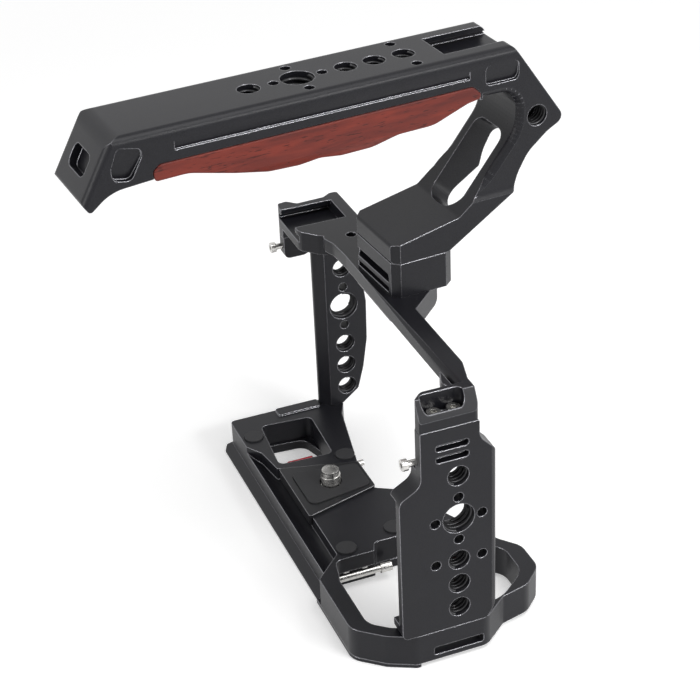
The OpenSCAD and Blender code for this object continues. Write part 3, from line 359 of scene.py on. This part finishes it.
# Turned steel: fine scratches with small bright and dull spots
turned, turned_in, turned_out = new_group(
    "turned_steel",
    [("Color", COLOUR, (0.6, 0.6, 0.59, 1)), ("Roughness", FLOAT, 0.25), ("Normal", VECTOR, None),
     ("Scratch", FLOAT, 0.2)],
    [("Color", COLOUR), ("Roughness", FLOAT), ("Normal", VECTOR)])
spot = turned.nodes.new("ShaderNodeTexCoord")
lines = turned.nodes.new("ShaderNodeTexNoise")
lines.inputs["Scale"].default_value = 2600
lines.inputs["Detail"].default_value = 3
patches = turned.nodes.new("ShaderNodeTexNoise")
patches.inputs["Scale"].default_value = 420
scratch = turned.nodes.new("ShaderNodeBump")
scratch.inputs["Distance"].default_value = 0.00003
dull = math_node(turned.nodes, "MULTIPLY_ADD", 0, 0.3, -0.15)
rough = math_node(turned.nodes, "ADD")
fade = math_node(turned.nodes, "MULTIPLY_ADD", 0, 0.5, 0.75)
stained = turned.nodes.new("ShaderNodeVectorMath")
stained.operation = "SCALE"
for link in [
        (spot.outputs["Object"], lines.inputs["Vector"]), (spot.outputs["Object"], patches.inputs["Vector"]),
        (lines.outputs["Fac"], scratch.inputs["Height"]),
        (turned_in.outputs["Scratch"], scratch.inputs["Strength"]),
        (turned_in.outputs["Normal"], scratch.inputs["Normal"]), (patches.outputs["Fac"], dull.inputs[0]),
        (dull.outputs[0], rough.inputs[0]), (turned_in.outputs["Roughness"], rough.inputs[1]),
        (patches.outputs["Fac"], fade.inputs[0]), (turned_in.outputs["Color"], stained.inputs[0]),
        (fade.outputs[0], stained.inputs["Scale"]), (stained.outputs[0], turned_out.inputs["Color"]),
        (rough.outputs[0], turned_out.inputs["Roughness"]),
        (scratch.outputs["Normal"], turned_out.inputs["Normal"])]:
    turned.links.new(*link)


def textured(name, look, ease, metallic=0.0, gloss=0.5, **values):
    """A material from one group of colour, roughness and normal, with its edges eased."""
    material = bpy.data.materials.new(name)
    material.use_nodes = True
    nodes, links = material.node_tree.nodes, material.node_tree.links
    surface = nodes["Principled BSDF"]
    surface.inputs["Metallic"].default_value = metallic
    surface.inputs["Specular IOR Level"].default_value = gloss
    edge = nodes.new("ShaderNodeGroup")
    edge.node_tree = easing
    edge.inputs["Width"].default_value = ease
    finish = nodes.new("ShaderNodeGroup")
    finish.node_tree = look
    for label, value in values.items():
        finish.inputs[label].default_value = value
    for link in [
            (edge.outputs["Normal"], finish.inputs["Normal"]),
            (finish.outputs["Color"], surface.inputs["Base Color"]),
            (finish.outputs["Roughness"], surface.inputs["Roughness"]),
            (finish.outputs["Normal"], surface.inputs["Normal"])]:
        links.new(*link)
    return material


STEEL_EASE = 0.00015
plain_steel = textured("plain_steel", turned, STEEL_EASE, metallic=1.0,
                       Color=(0.58, 0.575, 0.565, 1), Roughness=0.26)
finished("dovetail_screws", joined("dovetail_screws"), plain_steel)

# ---- Columns --------------------------------------------------------------------------------
# The grip-side and far-side columns, milled bars that stand on the base. Both are tapped for
# accessories, with small locating holes beside the threads.
finished("grip_column", joined("grip_column"), black)
finished("far_column", joined("far_column"), black)

# ---- Top bridge -----------------------------------------------------------------------------
# The cross bar over the camera, with the cold-shoe platform, the handle's tongue and the tray
# that sits on the grip column. Milled from one piece, anodised with the rest.
finished("top_bridge", joined("top_bridge"), black)

# ---- Handle ---------------------------------------------------------------------------------
# A mount block that turns on the bridge, and the handle on it: one milled piece with a sloping
# arm, a row of tapped holes and a cold shoe at its front.
# the light edge colour is a painted highlight here too
black_handle = anodised("black_anodised_handle", BLACK, 0.34, (0.29, 0.29, 0.31), 0.2, Speckle=0.8, Depth=0.5)
finished("mount_block", joined("mount_block"), black_handle)
finished("handle_body", joined("handle_body"), black_handle)

# ---- Threads of the tapped holes ------------------------------------------------------------
# Camera threads, twenty and sixteen turns to the inch, cut straight into the black metal. Their
# crests are sharp, and are painted light and metallic at their edges: a painted highlight, partly also thin
# anodising.
INCH = 0.0254
QUARTER_R = INCH / 8
QUARTER_PITCH, THREE_EIGHTHS_PITCH = INCH / 20, INCH / 16
CREST = 0.55  # how far a crest stands into its hole, as a share of the pitch
END_GAP = 0.0004  # what a thread leaves free of its hole's length


def tree_node(tree, kind, **settings):
    """A node of a geometry tree, with its settings."""
    node = tree.nodes.new(kind)
    for label, value in settings.items():
        setattr(node, label, value)
    return node


def thread_tree():
    """One helical ridge for each point, along that point's axis."""
    tree = bpy.data.node_groups.new("screw_thread", "GeometryNodeTree")
    tree.interface.new_socket("Geometry", in_out="INPUT", socket_type="NodeSocketGeometry")
    for label, value in [("Radius", 0.003), ("Pitch", 0.00127), ("Length", 0.006), ("Tooth", 0.0005),
                         ("Turned", 0.0)]:
        tree.interface.new_socket(label, in_out="INPUT", socket_type=FLOAT).default_value = value
    tree.interface.new_socket("Material", in_out="INPUT", socket_type="NodeSocketMaterial")
    tree.interface.new_socket("Geometry", in_out="OUTPUT", socket_type="NodeSocketGeometry")
    given, result = tree.nodes.new("NodeGroupInput"), tree.nodes.new("NodeGroupOutput")
    helix = tree_node(tree, "GeometryNodeCurveSpiral")
    helix.inputs["Resolution"].default_value = 36
    helix.inputs["Reverse"].default_value = True
    turns = tree_node(tree, "ShaderNodeMath", operation="DIVIDE")
    half = tree_node(tree, "ShaderNodeMath", operation="MULTIPLY")
    half.inputs[1].default_value = -0.5
    drop = tree_node(tree, "ShaderNodeCombineXYZ")
    centred = tree_node(tree, "GeometryNodeTransform")
    upright = tree_node(tree, "GeometryNodeSetCurveNormal", mode="Z_UP")
    tooth = tree_node(tree, "GeometryNodeCurvePrimitiveCircle", mode="RADIUS")
    tooth.inputs["Resolution"].default_value = 3
    spin = tree_node(tree, "ShaderNodeCombineXYZ")
    pointed = tree_node(tree, "GeometryNodeTransform")
    ridge = tree_node(tree, "GeometryNodeCurveToMesh")
    ridge.inputs["Fill Caps"].default_value = True
    axis = tree_node(tree, "GeometryNodeInputNamedAttribute", data_type="FLOAT_VECTOR")
    axis.inputs["Name"].default_value = "axis"
    aim = tree_node(tree, "FunctionNodeAlignRotationToVector", axis="Z")
    place = tree_node(tree, "GeometryNodeInstanceOnPoints")
    real = tree_node(tree, "GeometryNodeRealizeInstances")
    painted = tree_node(tree, "GeometryNodeSetMaterial")
    for link in [
            (given.outputs["Length"], turns.inputs[0]), (given.outputs["Pitch"], turns.inputs[1]),
            (turns.outputs[0], helix.inputs["Rotations"]),
            (given.outputs["Radius"], helix.inputs["Start Radius"]),
            (given.outputs["Radius"], helix.inputs["End Radius"]),
            (given.outputs["Length"], helix.inputs["Height"]),
            (given.outputs["Length"], half.inputs[0]), (half.outputs[0], drop.inputs["Z"]),
            (helix.outputs[0], centred.inputs["Geometry"]), (drop.outputs[0], centred.inputs["Translation"]),
            (centred.outputs[0], upright.inputs["Curve"]), (upright.outputs[0], ridge.inputs["Curve"]),
            (given.outputs["Tooth"], tooth.inputs["Radius"]), (given.outputs["Turned"], spin.inputs["Z"]),
            (tooth.outputs[0], pointed.inputs["Geometry"]), (spin.outputs[0], pointed.inputs["Rotation"]),
            (pointed.outputs[0], ridge.inputs["Profile Curve"]), (axis.outputs[0], aim.inputs["Vector"]),
            (given.outputs["Geometry"], place.inputs["Points"]), (ridge.outputs[0], place.inputs["Instance"]),
            (aim.outputs[0], place.inputs["Rotation"]), (place.outputs[0], real.inputs[0]),
            (real.outputs[0], painted.inputs["Geometry"]),
            (given.outputs["Material"], painted.inputs["Material"]),
            (painted.outputs[0], result.inputs[0])]:
        tree.links.new(*link)
    return tree


threading = thread_tree()


def thread_ridges(places, radius, pitch, length, crest, material, inward=True):
    """Ridges of a thread along each (centre, axis), their crests standing off the radius."""
    points = bpy.data.meshes.new("places")
    points.from_pydata([centre for centre, _ in places], [], [])
    axis = points.attributes.new("axis", "FLOAT_VECTOR", "POINT")
    for i, (_, way) in enumerate(places):
        axis.data[i].vector = way
    holder = bpy.data.objects.new("places", points)
    scene.collection.objects.link(holder)
    cutter = holder.modifiers.new("thread", "NODES")
    cutter.node_group = threading
    tooth = 0.5 * pitch
    middle = radius - crest + tooth if inward else radius + crest - tooth
    values = {"Radius": middle, "Pitch": pitch, "Length": length, "Tooth": tooth,
              "Turned": math.pi if inward else 0.0, "Material": material}
    for item in threading.interface.items_tree:
        if item.in_out == "INPUT" and item.name in values:
            cutter[item.identifier] = values[item.name]
    ready = holder.evaluated_get(bpy.context.evaluated_depsgraph_get())
    mesh = bpy.data.meshes.new_from_object(ready)
    bpy.data.objects.remove(holder)
    return mesh


def one_piece(name, meshes, material, body):
    """Several plain meshes as one piece on a body."""
    shape = bmesh.new()
    for mesh in meshes:
        shape.from_mesh(mesh)
    bmesh.ops.recalc_face_normals(shape, faces=shape.faces)
    whole = bpy.data.meshes.new(name)
    shape.to_mesh(whole)
    shape.free()
    whole.materials.append(material)
    piece = bpy.data.objects.new(name, whole)
    scene.collection.objects.link(piece)
    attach(piece, body)
    return piece


# the crests' light edge colour is a painted highlight, partly also thin anodising
crest_black = anodised("thread_crests", (0.06, 0.06, 0.063), 0.3, (0.62, 0.62, 0.63), 0.2, ease=0.00012,
                       gain=3.0, metallic=0.6, Speckle=0.1)
cut_threads = {"cage": {}, "handle": {}}
for mount in frame["record"]["mounts"]:
    if mount["kind"] == "threaded_hole":
        body = "handle" if mount["name"].startswith("handle") else "cage"
        size = (mount["dims"]["r_mm"] / 1000, mount["dims"]["length_mm"] / 1000)
        cut_threads[body].setdefault(size, []).append((mount["pos_m"], mount["axis"]))
for body, sizes in cut_threads.items():
    meshes = []
    for (radius, length), places in sizes.items():
        pitch = QUARTER_PITCH if radius < 1.1 * QUARTER_R else THREE_EIGHTHS_PITCH
        # half a tooth stands past the helix at each end
        turned_l = length - math.sqrt(0.75) * pitch - END_GAP
        meshes.append(thread_ridges(places, radius, pitch, turned_l, CREST * pitch, crest_black))
    one_piece(body + "_threads", meshes, crest_black, body)

# ---- Centre plate and pads ------------------------------------------------------------------
# A plate let into the base carries the camera screw, with a rubber pad stuck on top. Four
# round rubber pads beside it keep the camera from slipping.
# its light edge colour is a painted highlight
plate_black = anodised("centre_plate_black", (0.015, 0.015, 0.017), 0.34, (0.24, 0.24, 0.25), 0.2)
finished("centre_plate", joined("centre_plate"), plate_black)
black_rubber = textured("black_rubber", blast, 0.0003, gloss=0.35, Color=(0.022, 0.022, 0.024, 1),
                        Roughness=0.62, Grain=2600.0, Depth=0.5, Speckle=0.2)
finished("seat_pad", joined("seat_pad"), black_rubber)
finished("round_pads", joined("round_pads"), black_rubber)

# ---- Camera screw ---------------------------------------------------------------------------
# A quarter-inch steel screw with a slotted head under the base, kept in the centre plate by a
# spring clip in its groove. Only its threaded end stands up for the camera.
bright_steel = textured("bright_steel", turned, STEEL_EASE, metallic=1.0,
                        Color=(0.60, 0.59, 0.57, 1), Roughness=0.24)
ROOT_R = 0.00265
THREAD_FROM = 0.00005  # height over the seat where the thread begins
SCREW_TIP = 0.0012  # what the thread leaves free of the screw's top
screw_mesh = joined("camera_screw")
for corner in screw_mesh.vertices:
    across = math.hypot(corner.co.x, corner.co.y)
    if corner.co.z > THREAD_FROM and across > ROOT_R:
        corner.co.x *= ROOT_R / across
        corner.co.y *= ROOT_R / across
finished("camera_screw", screw_mesh, bright_steel, "camera_screw_shank")
screw_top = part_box("camera_screw")[1].z
thread_l = screw_top - SCREW_TIP - THREAD_FROM
thread_middle = (0, 0, THREAD_FROM + thread_l / 2)
screw_thread = thread_ridges([(thread_middle, (0, 0, 1))], QUARTER_R, QUARTER_PITCH, thread_l, 0.0,
                             bright_steel, inward=False)
one_piece("camera_screw_thread", [screw_thread], bright_steel, "camera_screw")
finished("screw_clip", joined("screw_clip"), plain_steel)

# ---- Small screws ---------------------------------------------------------------------------
# Stainless socket screws, bought in: two in the bridge's tray, set screws in the base, the
# column and the lug, the swivel bolt with its washer and pins, and the shoe's stop screw.
for node in ("bracket_screws", "front_set_screw", "column_set_screw", "lug_set_screw", "shoe_stop_screw"):
    finished(node, joined(node), bright_steel)
for node in ("swivel_bolt", "swivel_washer", "locating_pins", "wood_screws"):
    finished(node, joined(node), plain_steel)

# ---- Hex key --------------------------------------------------------------------------------
# A short steel key for the cage's screws, held under the wall of its bay by two small magnets.
finished("hex_key", joined("hex_key"), bright_steel)
finished("key_magnets", joined("key_magnets"), plain_steel)

# ---- Lock slide -----------------------------------------------------------------------------
# The red tab at the window, an anodised aluminium slide.
# its pale edge colour is a painted highlight
red = anodised("red_anodised", (0.42, 0.012, 0.025), 0.34, (0.8, 0.25, 0.25), 0.2, metallic=0.35)
finished("lock_slide", joined("lock_slide"), red)

# ---- Wood inserts ---------------------------------------------------------------------------
# Two oiled hardwood cheeks screwed to the grip, reddish with dark pores that run along it.
HANDLE_YAW = 4.6  # degrees that the handle stands off square
grain, grain_in, grain_out = new_group(
    "wood_grain",
    [("Light", COLOUR, (0.19, 0.024, 0.013, 1)), ("Dark", COLOUR, (0.10, 0.013, 0.009, 1)),
     ("Pore", COLOUR, (0.05, 0.008, 0.006, 1)), ("Normal", VECTOR, None)],
    [("Color", COLOUR), ("Roughness", FLOAT), ("Normal", VECTOR)])
spot = grain.nodes.new("ShaderNodeTexCoord")
along = grain.nodes.new("ShaderNodeMapping")
along.inputs["Rotation"].default_value = (0, 0, math.radians(-HANDLE_YAW))
along.inputs["Scale"].default_value = (1, 0.09, 1)
rings = grain.nodes.new("ShaderNodeTexNoise")
rings.inputs["Scale"].default_value = 420
rings.inputs["Detail"].default_value = 5
rings.inputs["Distortion"].default_value = 0.4
pores = grain.nodes.new("ShaderNodeTexNoise")
pores.inputs["Scale"].default_value = 2300
pores.inputs["Detail"].default_value = 2
band = grain.nodes.new("ShaderNodeMapRange")
band.inputs["From Min"].default_value = 0.35
band.inputs["From Max"].default_value = 0.65
deep = grain.nodes.new("ShaderNodeMapRange")
deep.inputs["From Min"].default_value = 0.60
deep.inputs["From Max"].default_value = 0.70
tone = grain.nodes.new("ShaderNodeMix")
tone.data_type = "RGBA"
pored = grain.nodes.new("ShaderNodeMix")
pored.data_type = "RGBA"
dullness = math_node(grain.nodes, "MULTIPLY_ADD", 0, 0.25, 0.34)
hollow = grain.nodes.new("ShaderNodeBump")
hollow.invert = True
hollow.inputs["Strength"].default_value = 0.35
hollow.inputs["Distance"].default_value = 0.00008
for link in [
        (spot.outputs["Object"], along.inputs["Vector"]), (along.outputs[0], rings.inputs["Vector"]),
        (along.outputs[0], pores.inputs["Vector"]), (rings.outputs["Fac"], band.inputs["Value"]),
        (pores.outputs["Fac"], deep.inputs["Value"]), (band.outputs[0], tone.inputs["Factor"]),
        (grain_in.outputs["Light"], tone.inputs["A"]), (grain_in.outputs["Dark"], tone.inputs["B"]),
        (tone.outputs["Result"], pored.inputs["A"]), (grain_in.outputs["Pore"], pored.inputs["B"]),
        (deep.outputs[0], pored.inputs["Factor"]), (deep.outputs[0], dullness.inputs[0]),
        (deep.outputs[0], hollow.inputs["Height"]), (grain_in.outputs["Normal"], hollow.inputs["Normal"]),
        (pored.outputs["Result"], grain_out.inputs["Color"]),
        (dullness.outputs[0], grain_out.inputs["Roughness"]),
        (hollow.outputs["Normal"], grain_out.inputs["Normal"])]:
    grain.links.new(*link)
oiled = textured("oiled_hardwood", grain, 0.0006, gloss=0.3)
finished("wood_left", joined("wood_left"), oiled)
finished("wood_right", joined("wood_right"), oiled)
